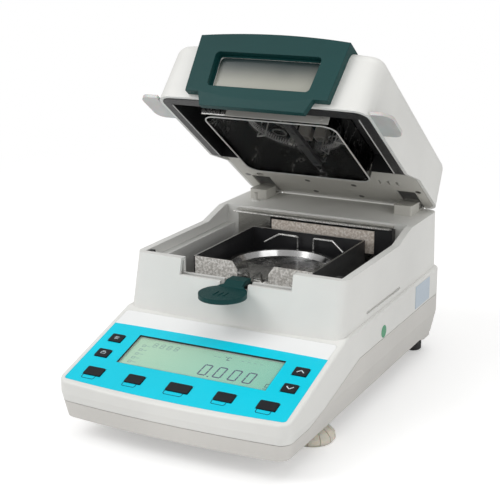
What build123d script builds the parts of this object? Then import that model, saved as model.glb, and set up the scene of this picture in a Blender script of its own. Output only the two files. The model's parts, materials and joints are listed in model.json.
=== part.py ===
from build123d import *
import os
from math import cos, radians, sin, tan

os.makedirs("parts", exist_ok=True)

# Moisture analyzer: a halogen dryer over a precision balance, with its lid open.
# Millimetres, +Z up, +Y to the back. Lengths along Y are measured from the front corners of
# the base; ORIGIN_BACK then puts the origin under the middle of the whole object.
ORIGIN_BACK = 179.0

# Base housing
BASE_W = 205.0
BASE_D = 340.0
BASE_BOTTOM = 18.0
BASE_CORNER = 10.0
FRONT_BOW = 5.0
CREASE_Z = 38.5
CREASE_IN = 4.0
FRONT_TOP_Z = 50.0
WALL = 3.0
PART_FRONT_Z = 32.0
PART_REAR_Z = 56.0
PART_RAMP_START = 38.0
PART_RAMP_END = 136.0
SEAM = 0.4

# Sloped control panel
PANEL_ANGLE = 16.5
PANEL_FRONT = 4.0
SHOULDER_START = 107.0
SHOULDER_RISE = 2.0
TOP_ROUND = 2.0
PANEL_LOW = -0.5
PANEL_LOW_BOW = 3.5
PANEL_HALF = BASE_W / 2 - 4.5
OVERLAY_T = 0.6
LCD_HALF = 67.0
LCD_V = (30.0, 69.0)
KEY_H = 10.0
KEY_PROUD = 0.8
KEY_TRAVEL = 0.5
KEY_GAP = 0.35
KEY_EDGE = PANEL_HALF - 14.0
KEY_ROW = 13.5
# name, across the panel, up the slope, width
KEYS = (
    ("key_menu", -KEY_EDGE, 59.0, 12.0),
    ("key_print", -KEY_EDGE, 37.5, 12.0),
    ("key_power", -KEY_EDGE + 6.5, KEY_ROW, 16.0),
    ("key_start", -39.5, KEY_ROW, 15.0),
    ("key_tare", 0.5, KEY_ROW, 20.0),
    ("key_select", 40.5, KEY_ROW, 16.0),
    ("key_enter", KEY_EDGE - 7.0, KEY_ROW, 16.0),
    ("key_up", KEY_EDGE, 59.0, 12.0),
    ("key_down", KEY_EDGE, 37.5, 12.0),
)

# Tub round the heating chamber
TUB_HALF = BASE_W / 2 - 4.5
TUB_DRAFT = 1.5
TUB_FRONT = 103.0
PANEL_LENGTH = TUB_FRONT - 3.5
TUB_LEAN = 11.0
TUB_TOP = 126.5
DECK_TOP = 135.5
DECK_FRONT = 272.0
RAMP_START = DECK_FRONT - 39.0
RAMP_END = DECK_FRONT - 6.0
TUB_BACK = BASE_D - 2.0
TUB_BOW = 2.5
LEDGE_HALF = TUB_HALF - 6.5
LEDGE_Z = TUB_TOP - 8.5
WELL_HALF = TUB_HALF - 14.0
WELL_FRONT = TUB_FRONT + 18.0
WELL_FLOOR = 86.0
NOTCH_HALF = 52.0
NOTCH_Z = TUB_TOP - 13.5
NECK_NOTCH_HALF = 13.0
NECK_NOTCH_Z = NOTCH_Z - 7.5

# Chamber
CHAMBER_Y = WELL_FRONT + 79.5
FLOOR_T = 1.5
SHIELD_HALF = 57.0
SHIELD_TOP = TUB_TOP - 6.0
SHIELD_T = 1.2
SHIELD_GAP = 15.0
PAN_R = 49.0
PAN_RIM_Z = 106.0
PAN_DEPTH = 6.0
PAN_T = 0.8
WIRE_R = 1.0
GRIP_R = 20.0
GRIP_Y = 90.0
GRIP_Z = 108.5
GRIP_T = 4.0

# Hinge and lid
HINGE_Y = TUB_BACK - 2.0
HINGE_Z = DECK_TOP - 3.0
LID_OPEN = 35.0
HINGE_X = TUB_HALF - 23.0
HINGE_W = 18.0
PIN_R = 2.0
LID_HALF = TUB_HALF
LID_FRONT = TUB_FRONT + 11.0
LID_BACK = HINGE_Y + 5.0
LID_SKIRT = TUB_TOP + 1.0
LID_REAR_SKIRT = DECK_TOP + 2.0
LID_SIDE_TOP = 182.5
LID_CROWN = LID_SIDE_TOP + 4.0
LID_RAKE = 6.5
LID_REAR_RAKE = 5.0
LID_ROUND = 11.0
SKIRT_DROP = 6.0
LID_WALL = 3.0
LID_CORNER = 14.0
LID_STEP_START = RAMP_START + 1.0
LID_STEP_END = RAMP_END + 2.0
BEZEL_PROUD = 7.0
BEZEL_BOW = 2.0
BEZEL_BOTTOM = 131.0
BEZEL_TOP = LID_SIDE_TOP + 4.5
BEZEL_CROWN = LID_CROWN + 4.5
BEZEL_HALF = (65.0, 69.0)
TAB_BOTTOM = 118.5
TAB_HALF = (47.5, 50.5)
WINDOW_HALF = (46.5, 49.0)
WINDOW_Z = (137.5, 171.5)
FRAME_Z = TUB_TOP + 0.4
FRAME_TOP = FRAME_Z + 17.9
FRAME_BACK = RAMP_START + 10.0
RIM_HALF = 62.0
RIM_Y = (CHAMBER_Y - 63.5, CHAMBER_Y + 50.5)
RIM_Z = SHIELD_TOP + 3.0
HEAD_TOP = LID_SIDE_TOP - 17.5
LAMP_R = 42.0
PLATE_T = 2.5

# Feet
FOOT_R = 19.5
FOOT_X = BASE_W / 2 - 21.0
FOOT_Y = 88.0
FOOT_H = 15.0
FOOT_GROOVES = 12
STUD_R = 4.0
PAD_X = BASE_W / 2 - 18.5
PAD_Y = BASE_D - 18.0
PAD_R = 8.0
LEG_BOTTOM = 12.0
RUN = 0.3

# Display and keys under the panel
LCD_SPAN = (-LCD_HALF, LCD_HALF)
LCD_BACK = -9.0
BOARD_TOP = LCD_BACK - 0.3
BOARD_T = 1.6

# Rear sockets: inlet and rocker halves, serial flange half
REAR_ACROSS = {"inlet": -BASE_W / 2 + 40.5, "rocker": -BASE_W / 2 + 72.5, "serial": BASE_W / 2 - 50.5}
REAR_Z = 70.0
INLET = (14.0, 10.5)
ROCKER = (6.5, 10.0)
SERIAL = (15.5, 6.5)
REAR_FACE = BASE_D
ROCKER_TILT = 6.0
ROCKER_PIVOT = REAR_FACE - 5.0

# Weighing parts under the chamber, and its rear screen
BEAM_Z = (31.0, 58.0)
BEAM_Y = (118.0, 214.0)
BEAM_HALF = 13.0
CARRIER_Z = PAN_RIM_Z - PAN_DEPTH - 0.3
HEAT_PLATE_Y = (DECK_FRONT - 1.8, DECK_FRONT - 0.3)
BAFFLE_X = (-41.0, WELL_HALF - 3.0)
BAFFLE_Z = (DECK_TOP - 29.5, DECK_TOP - 4.5)
BAFFLE_Y = (DECK_FRONT - 10.0, HEAT_PLATE_Y[0] - 0.2)
SHIELD_LOW = WELL_FLOOR + FLOOR_T + RUN
SHIELD_FRONT = CHAMBER_Y - SHIELD_HALF
SHIELD_BACK = CHAMBER_Y + SHIELD_HALF
RING_Z = PAN_RIM_Z - PAN_T - WIRE_R - RUN
WIRE_RING_R = PAN_R - 1.7
NECK_Y = 124.0
NECK_Z = GRIP_Z + 4.0
FLOOR_IN = BASE_BOTTOM + WALL

# Deck and hinge
SWITCH_X = -TUB_HALF + 24.5
SWITCH_Y = HINGE_Y - 40.0
CHEEK = 5.0
BARREL_R = 5.0
BLOCK_Y = (HINGE_Y - 32.0, HINGE_Y - 9.0)
BLOCK_TOP = DECK_TOP + 9.5
HINGE_SLOT = HINGE_W / 2 + 0.6
SCREW_EDGE = LID_HALF - 10.0
SCREW_X = (-SCREW_EDGE, -24.0, 24.0, SCREW_EDGE)
SCREW_Y = (HINGE_Y - 37.0, HINGE_Y - 11.0)
SCREW_PLACES = [
    (x, y) for x in SCREW_X for y in SCREW_Y if abs(x) < HINGE_X or y == SCREW_Y[0]
]

# Heater in the lid
LAMP_Z = HEAD_TOP - 19.0
LAMP_TUBE = 4.0
LAMP_Y = (RIM_Y[0] + RIM_Y[1]) / 2
GLASS_Z = (RIM_Z + 2.0, RIM_Z + 5.0)
SOCKET_Z = HEAD_TOP - 11.0
BRIDGE_Z = GLASS_Z[1] + 5.5


def save(name, shape):
    """Writes one piece, moved from the front corner to the object's own origin."""
    moved = Pos(0, -ORIGIN_BACK, 0) * shape
    solids = moved.solids()
    body = solids[0] if len(solids) == 1 else Compound(children=solids)
    export_step(body, f"parts/{name}.step")


def save_lid(name, shape):
    """Writes a piece of the lid, modelled closed and swung up about the hinge line."""
    axis = Axis((0, HINGE_Y, HINGE_Z), (1, 0, 0))
    save(name, shape.rotate(axis, -LID_OPEN))


def block(x, y, z):
    """A box between two bounds on each axis."""
    size = (x[1] - x[0], y[1] - y[0], z[1] - z[0])
    middle = ((x[0] + x[1]) / 2, (y[0] + y[1]) / 2, (z[0] + z[1]) / 2)
    return Pos(*middle) * Box(*size)


def rounded_block(x, y, z, radius):
    """A box with its four upright edges rounded."""
    return fillet(block(x, y, z).edges().filter_by(Axis.Z), radius)


def post(x, y, z, radius):
    """An upright round post between two heights."""
    return Pos(x, y, (z[0] + z[1]) / 2) * Cylinder(radius, z[1] - z[0])


def along_x(points, half):
    """A prism along X from an outline of (y, z) points."""
    outline = Polyline(*[(-half, y, z) for y, z in points], close=True)
    return extrude(make_face(outline), amount=2 * half, dir=(1, 0, 0))


def plan(half, front, back, bow, z, corner):
    """A flat outline with its front bowed forward and its corners rounded."""
    bowed = ThreePointArc((-half, front, z), (0, front - bow, z), (half, front, z))
    rest = Polyline((half, front, z), (half, back, z), (-half, back, z), (-half, front, z))
    face = make_face(Curve() + [bowed, rest])
    return fillet(face.vertices(), corner)


def panel_z(y):
    """Height of the panel surface at a distance from the front."""
    return FRONT_TOP_Z + (y - PANEL_FRONT) * tan(radians(PANEL_ANGLE))


def soften_top(body):
    """Rounds the housing's upper rim: every edge of the slope and shoulder that faces outwards."""
    rim = [
        edge
        for edge in body.edges()
        if edge.center().Z > FRONT_TOP_Z - 10
        and abs(edge.tangent_at(0.5).Z) < 0.9
        and not (abs(edge.tangent_at(0.5).X) > 0.99 and edge.center().Y > SHOULDER_START - 1)
        and edge.center().Z > CREASE_Z + 1
    ]
    return fillet(rim, TOP_ROUND)


def base_form(inset):
    """The lower half of the housing as a solid, drawn in by a wall's thickness."""
    half = BASE_W / 2 - inset
    corner = BASE_CORNER - inset / 2
    low_z = BASE_BOTTOM + inset
    foot_plan = plan(half - CREASE_IN, inset + 3, BASE_D - inset - 2, FRONT_BOW, low_z, corner)
    full_low = plan(half, inset, BASE_D - inset, FRONT_BOW, CREASE_Z, corner)
    skirt = loft([foot_plan, full_low])
    top = panel_z(BASE_D)
    upper = extrude(full_low, amount=top - CREASE_Z)
    shoulder_z = panel_z(SHOULDER_START)
    profile = along_x(
        [
            (-FRONT_BOW - 5, CREASE_Z - 1),
            (-FRONT_BOW - 5, panel_z(-FRONT_BOW - 5) - inset),
            (SHOULDER_START, shoulder_z - inset),
            (BASE_D + 5, shoulder_z + SHOULDER_RISE - inset),
            (BASE_D + 5, CREASE_Z - 1),
        ],
        BASE_W,
    )
    upper &= profile
    if inset == 0:
        upper = soften_top(upper)
    return skirt + upper


def tub_form(inset):
    """The walls round the chamber and the rear deck, filled in."""
    base_z = panel_z(PANEL_FRONT) + 6
    half = TUB_HALF - inset
    rise = (DECK_TOP - base_z) / (TUB_TOP - panel_z(TUB_FRONT))
    low = plan(half + TUB_DRAFT, TUB_FRONT + inset - 4, TUB_BACK + 1 - inset, TUB_BOW, base_z, 9)
    high = plan(half, TUB_FRONT + inset + TUB_LEAN * rise - 4, TUB_BACK - inset, TUB_BOW, DECK_TOP, 9)
    top = DECK_TOP - inset
    profile = along_x(
        [
            (TUB_FRONT - 20, base_z - 1),
            (TUB_FRONT - 20, TUB_TOP - inset),
            (RAMP_START, TUB_TOP - inset),
            (RAMP_END, top),
            (BASE_D, top),
            (BASE_D, base_z - 1),
        ],
        BASE_W,
    )
    return loft([low, high]) & profile


def well_form(grow):
    """The open chamber with its stepped ledges, widened by a wall's thickness."""
    top = DECK_TOP + 20
    back = DECK_FRONT + grow
    well = block((-WELL_HALF - grow, WELL_HALF + grow), (WELL_FRONT - grow, back), (WELL_FLOOR - grow, top))
    ledge = block((-LEDGE_HALF - grow, LEDGE_HALF + grow), (WELL_FRONT - grow, back), (LEDGE_Z - grow, top))
    return well + ledge


def parting(above):
    """The space above or below the seam line of the two housing halves."""
    far = 200.0 if above else -20.0
    shift = 0 if above else -SEAM
    return along_x(
        [
            (-20, far),
            (-20, PART_FRONT_Z + shift),
            (PART_RAMP_START, PART_FRONT_Z + shift),
            (PART_RAMP_END, PART_REAR_Z + shift),
            (BASE_D + 20, PART_REAR_Z + shift),
            (BASE_D + 20, far),
        ],
        BASE_W,
    )


# The panel's own frame: X across, Y up the slope, Z out of the panel
PANEL = Plane(
    origin=(0, PANEL_FRONT, FRONT_TOP_Z),
    x_dir=(1, 0, 0),
    z_dir=(0, -sin(radians(PANEL_ANGLE)), cos(radians(PANEL_ANGLE))),
)


def on_panel(across, up, out):
    """A box in the panel's frame."""
    return PANEL.location * block(across, up, out)


def rounded_on_panel(across, up, out, radius):
    return PANEL.location * rounded_block(across, up, out, radius)


def overlay_form(gap, out):
    """The keypad film's outline, bowed along its lower edge like the housing's front."""
    half = PANEL_HALF - gap
    low = PANEL_LOW + gap
    high = PANEL_LENGTH - gap
    bowed = ThreePointArc((-half, low), (0, low - PANEL_LOW_BOW), (half, low))
    rest = Polyline((half, low), (half, high), (-half, high), (-half, low))
    face = make_face(Curve() + [bowed, rest])
    face = fillet(face.vertices(), 3)
    body = extrude(face, amount=out[1] - out[0])
    return PANEL.location * (Pos(0, 0, out[0]) * body)


def key_pocket(key, gap, out):
    _, x, v, w = key
    return on_panel((x - w / 2 - gap, x + w / 2 + gap), (v - KEY_H / 2 - gap, v + KEY_H / 2 + gap), out)


def rear_cut(name, half, depth, grow=0.0):
    """A box through the rear wall for a socket."""
    x = REAR_ACROSS[name]
    span_x = (x - half[0] - grow, x + half[0] + grow)
    span_z = (REAR_Z - half[1] - grow, REAR_Z + half[1] + grow)
    return block(span_x, (BASE_D - depth, BASE_D + 2), span_z)


def upper_housing():
    outer = base_form(0) + tub_form(0)
    inner = base_form(WALL) + tub_form(WALL)
    walls_kept = well_form(WALL)
    shell = outer - (inner - walls_kept) - well_form(0)
    shell &= parting(True)
    shell -= overlay_form(0.0, (-OVERLAY_T, 30)) & panel_slab()
    shell -= on_panel(LCD_SPAN, LCD_V, (-10, 10))
    for key in KEYS:
        shell -= key_pocket(key, KEY_GAP, (-10, 10))
    notch_y = (TUB_FRONT - 10, WELL_FRONT + 1)
    shell -= block((-NOTCH_HALF, NOTCH_HALF), notch_y, (NOTCH_Z, DECK_TOP + 5))
    shell -= block((-NECK_NOTCH_HALF, NECK_NOTCH_HALF), notch_y, (NECK_NOTCH_Z, DECK_TOP))
    for name, half in (("inlet", INLET), ("rocker", ROCKER), ("serial", SERIAL)):
        shell -= rear_cut(name, half, 12, 0.2)
    shell -= block((-20, 20), (CHAMBER_Y - 20, CHAMBER_Y + 20), (WELL_FLOOR - 10, WELL_FLOOR + 5))
    for side in (-1, 1):
        x = side * HINGE_X
        half = HINGE_W / 2 + 1
        shell -= block((x - half, x + half), (HINGE_Y - 7.5, BASE_D + 5), (HINGE_Z - 8, DECK_TOP + 5))
    shell -= block((TUB_HALF - 1.2, TUB_HALF + 6), (158, 238), (86.0, 88.5))
    shell += post(SWITCH_X, SWITCH_Y, (DECK_TOP - 1, DECK_TOP + 1.2), 4)
    shell -= post(SWITCH_X, SWITCH_Y, (DECK_TOP - WALL - 1, DECK_TOP + 2), 2.1)
    return shell


def panel_slab():
    return along_x([(-20, 30), (-20, 200), (TUB_FRONT - 3, 200), (TUB_FRONT - 3, 30)], BASE_W)


def lower_housing():
    shell = (base_form(0) - base_form(WALL)) & parting(False)
    for side in (-1, 1):
        leg = along_x(
            [
                (BASE_D - 68, BASE_BOTTOM + 6),
                (BASE_D - 22, LEG_BOTTOM),
                (BASE_D - 6, LEG_BOTTOM),
                (BASE_D - 5, BASE_BOTTOM + 6),
            ],
            12.0,
        )
        shell += Pos(side * PAD_X, 0, 0) * leg & base_foot_space()
        boss = post(side * FOOT_X, FOOT_Y, (BASE_BOTTOM - 1, PART_FRONT_Z - 2), 9)
        shell += boss
    for side in (-1, 1):
        shell -= post(side * FOOT_X, FOOT_Y, (BASE_BOTTOM - 5, PART_FRONT_Z + 5), STUD_R + 0.08)
        shell -= post(side * PAD_X, PAD_Y, (LEG_BOTTOM - 1, LEG_BOTTOM + 3), PAD_R - 2)
    for row in range(6):
        y = 150 + row * 16
        shell -= block((-40, 40), (y, y + 5), (BASE_BOTTOM - 1, BASE_BOTTOM + WALL + 1))
    return shell


def base_foot_space():
    return block((-BASE_W / 2, BASE_W / 2), (0, BASE_D), (0, BASE_BOTTOM + WALL / 2))


def keypad_overlay():
    film = overlay_form(0.15, (-OVERLAY_T, 0))
    film -= on_panel(LCD_SPAN, LCD_V, (-2, 2))
    for key in KEYS:
        film -= key_pocket(key, KEY_GAP, (-2, 2))
    return film


def lcd_window():
    across = (-LCD_HALF + 0.2, LCD_HALF - 0.2)
    return on_panel(across, (LCD_V[0] + 0.2, LCD_V[1] - 0.2), (-2.2, -1.6))


def lcd_module():
    body = on_panel((-LCD_HALF - 5, LCD_HALF + 5), (LCD_V[0] - 4, LCD_V[1] + 4), (LCD_BACK, -WALL - 0.1))
    glass = on_panel((-LCD_HALF + 0.5, LCD_HALF - 0.5), (LCD_V[0] + 0.5, LCD_V[1] - 0.5), (-4, -2.3))
    return body + glass


def display_board():
    board = on_panel((-92, 92), (5, 90), (BOARD_TOP - BOARD_T, BOARD_TOP))
    for _, x, v, _ in KEYS:
        board += on_panel((x - 3, x + 3), (v - 3, v + 3), (BOARD_TOP, BOARD_TOP + 0.4))
    return board


def key_cap(key):
    """A push key with a retaining flange under the panel and a stem to its switch."""
    _, x, v, w = key
    half_v = KEY_H / 2
    rim = 1.2
    low = -4.2
    cap = rounded_on_panel((x - w / 2, x + w / 2), (v - half_v, v + half_v), (low, KEY_PROUD), rim)
    across = (x - w / 2 - rim, x + w / 2 + rim)
    flange = on_panel(across, (v - half_v - rim, v + half_v + rim), (low - 0.2, low + 0.8))
    switch_top = BOARD_TOP + 0.6 + KEY_TRAVEL
    stem = on_panel((x - 2, x + 2), (v - 2, v + 2), (switch_top, low))
    return cap + flange + stem


def load_cell_block():
    return block((-20, 20), (BEAM_Y[0] - 2, BEAM_Y[0] + 34), (BASE_BOTTOM + WALL + 0.3, BEAM_Z[0] - 0.3))


def load_cell():
    beam = block((-BEAM_HALF, BEAM_HALF), BEAM_Y, BEAM_Z)
    middle = (BEAM_Z[0] + BEAM_Z[1]) / 2
    for y in (BEAM_Y[0] + 46, BEAM_Y[0] + 66):
        bore = Pos(0, y, middle) * Rot(0, 90, 0) * Cylinder(9.5, 2 * BEAM_HALF + 2)
        beam -= bore
    between = (BEAM_Y[0] + 46, BEAM_Y[0] + 66)
    beam -= block((-BEAM_HALF - 1, BEAM_HALF + 1), between, (middle - 2, middle + 2))
    return beam


def load_carrier():
    foot = block((-BEAM_HALF, BEAM_HALF), (BEAM_Y[1] - 26, BEAM_Y[1]), (BEAM_Z[1] + 0.3, BEAM_Z[1] + 4))
    shaft = post(0, CHAMBER_Y, (BEAM_Z[1] + 2, CARRIER_Z - 6), 4)
    return foot + shaft + post(0, CHAMBER_Y, (CARRIER_Z - 10, CARRIER_Z - 3), 2)


def pan_carrier():
    """The cross that the pan stands on, with a socket over the load cell's shaft."""
    hub = post(0, CHAMBER_Y, (CARRIER_Z - 9, CARRIER_Z), 5)
    cross = hub
    for turn in (45, 135):
        arm = Pos(0, CHAMBER_Y, CARRIER_Z - 1) * Rot(0, 0, turn) * Box(64, 5, 2)
        cross += arm
    return cross - post(0, CHAMBER_Y, (CARRIER_Z - 12, CARRIER_Z - 2.8), 2.05) - post(
        0, CHAMBER_Y, (CARRIER_Z - 12, CARRIER_Z - 5.8), 4.05
    )


def chamber_floor():
    across = (-WELL_HALF + RUN, WELL_HALF - RUN)
    tray = block(across, (WELL_FRONT + RUN, DECK_FRONT - RUN), (WELL_FLOOR, WELL_FLOOR + FLOOR_T))
    collar = post(0, CHAMBER_Y, (WELL_FLOOR, WELL_FLOOR + 3.5), 11)
    return tray + collar - post(0, CHAMBER_Y, (WELL_FLOOR - 1, WELL_FLOOR + 6), 9)


def heat_plate():
    low = WELL_FLOOR + FLOOR_T + RUN
    across = (-WELL_HALF + 5, WELL_HALF - 5)
    plate = block(across, HEAT_PLATE_Y, (low, DECK_TOP - 2))
    lip = block(across, (HEAT_PLATE_Y[0] - 4, HEAT_PLATE_Y[1]), (DECK_TOP - 3, DECK_TOP - 2))
    return plate + lip


def rear_baffle():
    """A black sheet box that screens the back of the chamber, open to the front."""
    box = block(BAFFLE_X, BAFFLE_Y, BAFFLE_Z)
    hollow = block((BAFFLE_X[0] + 1, BAFFLE_X[1] - 17), (BAFFLE_Y[0] - 1, BAFFLE_Y[1] - 1.2), (107, 130))
    return box - hollow


def baffle_plate():
    across = (BAFFLE_X[0] + 1.3, BAFFLE_X[1] - 17.3)
    return block(across, (BAFFLE_Y[0] + 0.2, BAFFLE_Y[0] + 1.4), (BAFFLE_Z[0] + 1.3, BAFFLE_Z[1] - 2.5))


def draft_shield():
    """Three black walls round the pan, with a narrow lip folded in at the front corners."""
    span = (-SHIELD_HALF, SHIELD_HALF)
    box = block(span, (SHIELD_FRONT, SHIELD_BACK), (SHIELD_LOW, SHIELD_TOP))
    inside = (-SHIELD_HALF + SHIELD_T, SHIELD_HALF - SHIELD_T)
    box -= block(inside, (SHIELD_FRONT - 1, SHIELD_BACK - SHIELD_T), (SHIELD_LOW - 1, SHIELD_TOP + 1))
    for side in (-1, 1):
        x = sorted((side * (SHIELD_HALF - 6), side * (SHIELD_HALF - SHIELD_T)))
        box += block(x, (SHIELD_FRONT + 1.4, SHIELD_FRONT + 2.6), (SHIELD_LOW, SHIELD_TOP))
    return box


def shield_front_plates():
    """The two plates across the shield's front, with a gap for the lifter between them."""
    plates = []
    for side in (-1, 1):
        near, far = side * SHIELD_GAP, side * (SHIELD_HALF - SHIELD_T - 0.1)
        outline = Polyline(
            (near, SHIELD_FRONT, SHIELD_LOW),
            (far, SHIELD_FRONT, SHIELD_LOW),
            (far, SHIELD_FRONT, SHIELD_TOP),
            (near + side * 5, SHIELD_FRONT, SHIELD_TOP),
            (near, SHIELD_FRONT, SHIELD_TOP - 7),
            close=True,
        )
        plates.append(extrude(make_face(outline), amount=SHIELD_T, dir=(0, 1, 0)))
    return Compound(children=plates)


def ring(radius, tube, centre):
    """A level ring of eight-sided tube."""
    section = Plane.XZ * (Pos(radius, 0) * RegularPolygon(tube, 8))
    return Pos(*centre) * revolve(section, Axis.Z)


def wire(points, radius):
    """Bent eight-sided wire along a route with rounded corners."""
    path = FilletPolyline(*points, radius=radius)
    start = path @ 0
    section = Plane(origin=start, z_dir=path % 0) * RegularPolygon(WIRE_R, 8)
    return sweep(section, path=path)


def lifter_wire():
    form = ring(WIRE_RING_R, WIRE_R, (0, CHAMBER_Y, RING_Z))
    for side in (-1, 1):
        front_x = side * 6.0
        root_y = CHAMBER_Y - (WIRE_RING_R**2 - front_x**2) ** 0.5
        form += wire(
            [(front_x, root_y + 0.5, RING_Z), (front_x, root_y - 4, RING_Z), (front_x, root_y - 6, NECK_Z),
             (front_x, NECK_Y, NECK_Z)],
            1.8,
        )
        back_x = side * 8.0
        root_y = CHAMBER_Y + (WIRE_RING_R**2 - back_x**2) ** 0.5
        rear_y = CHAMBER_Y + PAN_R + WIRE_R + 2.0
        top = SHIELD_TOP - 3
        form += wire(
            [(back_x, root_y - 0.5, RING_Z), (back_x, rear_y, RING_Z), (back_x, rear_y, top),
             (side * 27, rear_y, top), (side * 40, rear_y - 5, top - 8)],
            1.8,
        )
    return form


def lifter_grip():
    """The moulded finger plate: a round disc on a neck that steps up over the tub's wall."""
    t = GRIP_T / 2
    front = GRIP_Y - GRIP_R - 2
    profile = along_x(
        [
            (front, GRIP_Z - t),
            (front, GRIP_Z + t),
            (GRIP_Y + 15, GRIP_Z + t),
            (GRIP_Y + 23, NECK_Z + t),
            (NECK_Y, NECK_Z + t),
            (NECK_Y, NECK_Z - t),
            (GRIP_Y + 24, NECK_Z - t),
            (GRIP_Y + 16, GRIP_Z - t),
        ],
        GRIP_R + 2,
    )
    shape = post(0, GRIP_Y, (GRIP_Z - 10, NECK_Z + 10), GRIP_R)
    shape += block((-8.5, 8.5), (GRIP_Y, NECK_Y), (GRIP_Z - 10, NECK_Z + 10))
    return profile & shape


def sample_pan():
    """A pressed dish with a sloped wall and a flat rim."""
    low, high = PAN_RIM_Z - PAN_DEPTH, PAN_RIM_Z
    outline = Polyline(
        (0, 0, low),
        (PAN_R - 5.5, 0, low),
        (PAN_R - 3.2, 0, high - PAN_T),
        (PAN_R, 0, high - PAN_T),
        (PAN_R, 0, high),
        (PAN_R - 3.8, 0, high),
        (PAN_R - 6.1, 0, low + PAN_T),
        (0, 0, low + PAN_T),
        close=True,
    )
    return Pos(0, CHAMBER_Y, 0) * revolve(make_face(outline), Axis.Z)


def lid_switch_pin():
    pin = post(SWITCH_X, SWITCH_Y, (DECK_TOP - 9, DECK_TOP + 8), 2.0)
    return pin + post(SWITCH_X, SWITCH_Y, (DECK_TOP - 9, DECK_TOP - WALL - 0.4), 3.5)


def corner_bumpers():
    blocks = []
    for side in (-1, 1):
        x = side * (LEDGE_HALF - 4)
        y = (WELL_FRONT + 1, WELL_FRONT + 6)
        blocks.append(rounded_block((x - 2.5, x + 2.5), y, (LEDGE_Z, TUB_TOP), 1))
    return Compound(children=blocks)


def hinge_place(side):
    return Pos(side * HINGE_X, 0, 0)


def hinge_brackets():
    """A block on the deck with two cheeks that hold the hinge pin."""
    parts = []
    for side in (-1, 1):
        half = HINGE_W / 2
        body = rounded_block((-half, half), BLOCK_Y, (DECK_TOP, BLOCK_TOP), 2)
        for end in (-1, 1):
            x = sorted((end * half, end * (half - CHEEK)))
            cheek = block(x, (BLOCK_Y[1] - 4, HINGE_Y), (DECK_TOP, HINGE_Z + BARREL_R))
            cheek += block(x, (HINGE_Y - BARREL_R, HINGE_Y), (HINGE_Z, HINGE_Z + BARREL_R))
            middle = (x[0] + x[1]) / 2
            cheek += Pos(middle, HINGE_Y, HINGE_Z) * Rot(0, 90, 0) * Cylinder(BARREL_R, CHEEK)
            body += cheek
        body -= Pos(0, HINGE_Y, HINGE_Z) * Rot(0, 90, 0) * Cylinder(PIN_R + 0.04, HINGE_W + 2)
        parts.append(hinge_place(side) * body)
    return Compound(children=parts)


def hinge_pins():
    pin = Pos(0, HINGE_Y, HINGE_Z) * Rot(0, 90, 0) * Cylinder(PIN_R, HINGE_W + 1)
    return Compound(children=[hinge_place(-1) * pin, hinge_place(1) * pin])


def hinge_leaves():
    """The lid's knuckles, each with an arm and a flange that lies on the lid's rear plate."""
    parts = []
    half = HINGE_W / 2 - CHEEK - RUN
    top = LID_REAR_SKIRT + PLATE_T
    for side in (-1, 1):
        body = Pos(0, HINGE_Y, HINGE_Z) * Rot(0, 90, 0) * Cylinder(BARREL_R - 0.4, 2 * half)
        body += block((-half, half), (HINGE_Y - 4, HINGE_Y + 0.3), (HINGE_Z, top + 2))
        body += block((-11.5, 11.5), (HINGE_Y - 6.5, HINGE_Y + 0.3), (top + 0.1, top + 2.5))
        body -= Pos(0, HINGE_Y, HINGE_Z) * Rot(0, 90, 0) * Cylinder(PIN_R + 0.05, HINGE_W + 2)
        parts.append(hinge_place(side) * body)
    return Compound(children=parts)


# Lid, modelled closed
def lid_form(inset, drop=0.0):
    """The hood as a solid, drawn in by a wall's thickness, its skirt lowered by drop."""
    half = LID_HALF - inset
    low_z, high_z = LID_SKIRT - drop, LID_CROWN + 2
    height = LID_SIDE_TOP - LID_SKIRT
    low_share, high_share = -drop / height, (high_z - LID_SKIRT) / height
    corner = LID_CORNER - inset
    low = plan(
        half,
        LID_FRONT + inset + LID_RAKE * low_share,
        LID_BACK - inset - LID_REAR_RAKE * low_share,
        TUB_BOW,
        low_z,
        corner,
    )
    high = plan(
        half - 1,
        LID_FRONT + inset + LID_RAKE * high_share,
        LID_BACK - inset - LID_REAR_RAKE * high_share,
        TUB_BOW,
        high_z,
        corner,
    )
    side_top, crown = LID_SIDE_TOP - inset, LID_CROWN - inset
    roof = ThreePointArc((-LID_HALF, 90, side_top), (0, 90, crown), (LID_HALF, 90, side_top))
    walls = Polyline(
        (LID_HALF, 90, side_top), (LID_HALF, 90, low_z), (-LID_HALF, 90, low_z), (-LID_HALF, 90, side_top)
    )
    tunnel = extrude(make_face(Curve() + [roof, walls]), amount=270, dir=(0, 1, 0))
    body = loft([low, high]) & tunnel
    body = fillet(body.faces().sort_by(Axis.Z)[-1].edges(), LID_ROUND - inset)
    step = along_x(
        [
            (LID_STEP_START, LID_SKIRT - drop - 1),
            (LID_STEP_START, LID_SKIRT - drop),
            (LID_STEP_END, LID_REAR_SKIRT - drop),
            (LID_BACK + 5, LID_REAR_SKIRT - drop),
            (LID_BACK + 5, LID_SKIRT - drop - 1),
        ],
        BASE_W,
    )
    return body - step


def window_space(grow, depth):
    """The lid window's outline as a prism through the front, wider at its top."""
    low, high = WINDOW_Z[0] - grow, WINDOW_Z[1] + grow
    wide_low, wide_high = WINDOW_HALF[0] + grow, WINDOW_HALF[1] + grow
    outline = Polyline(
        (-wide_low, depth[0], low),
        (wide_low, depth[0], low),
        (wide_high, depth[0], high),
        (-wide_high, depth[0], high),
        close=True,
    )
    face = make_face(outline)
    face = fillet(face.vertices(), 4)
    return extrude(face, amount=depth[1] - depth[0], dir=(0, 1, 0))


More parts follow.
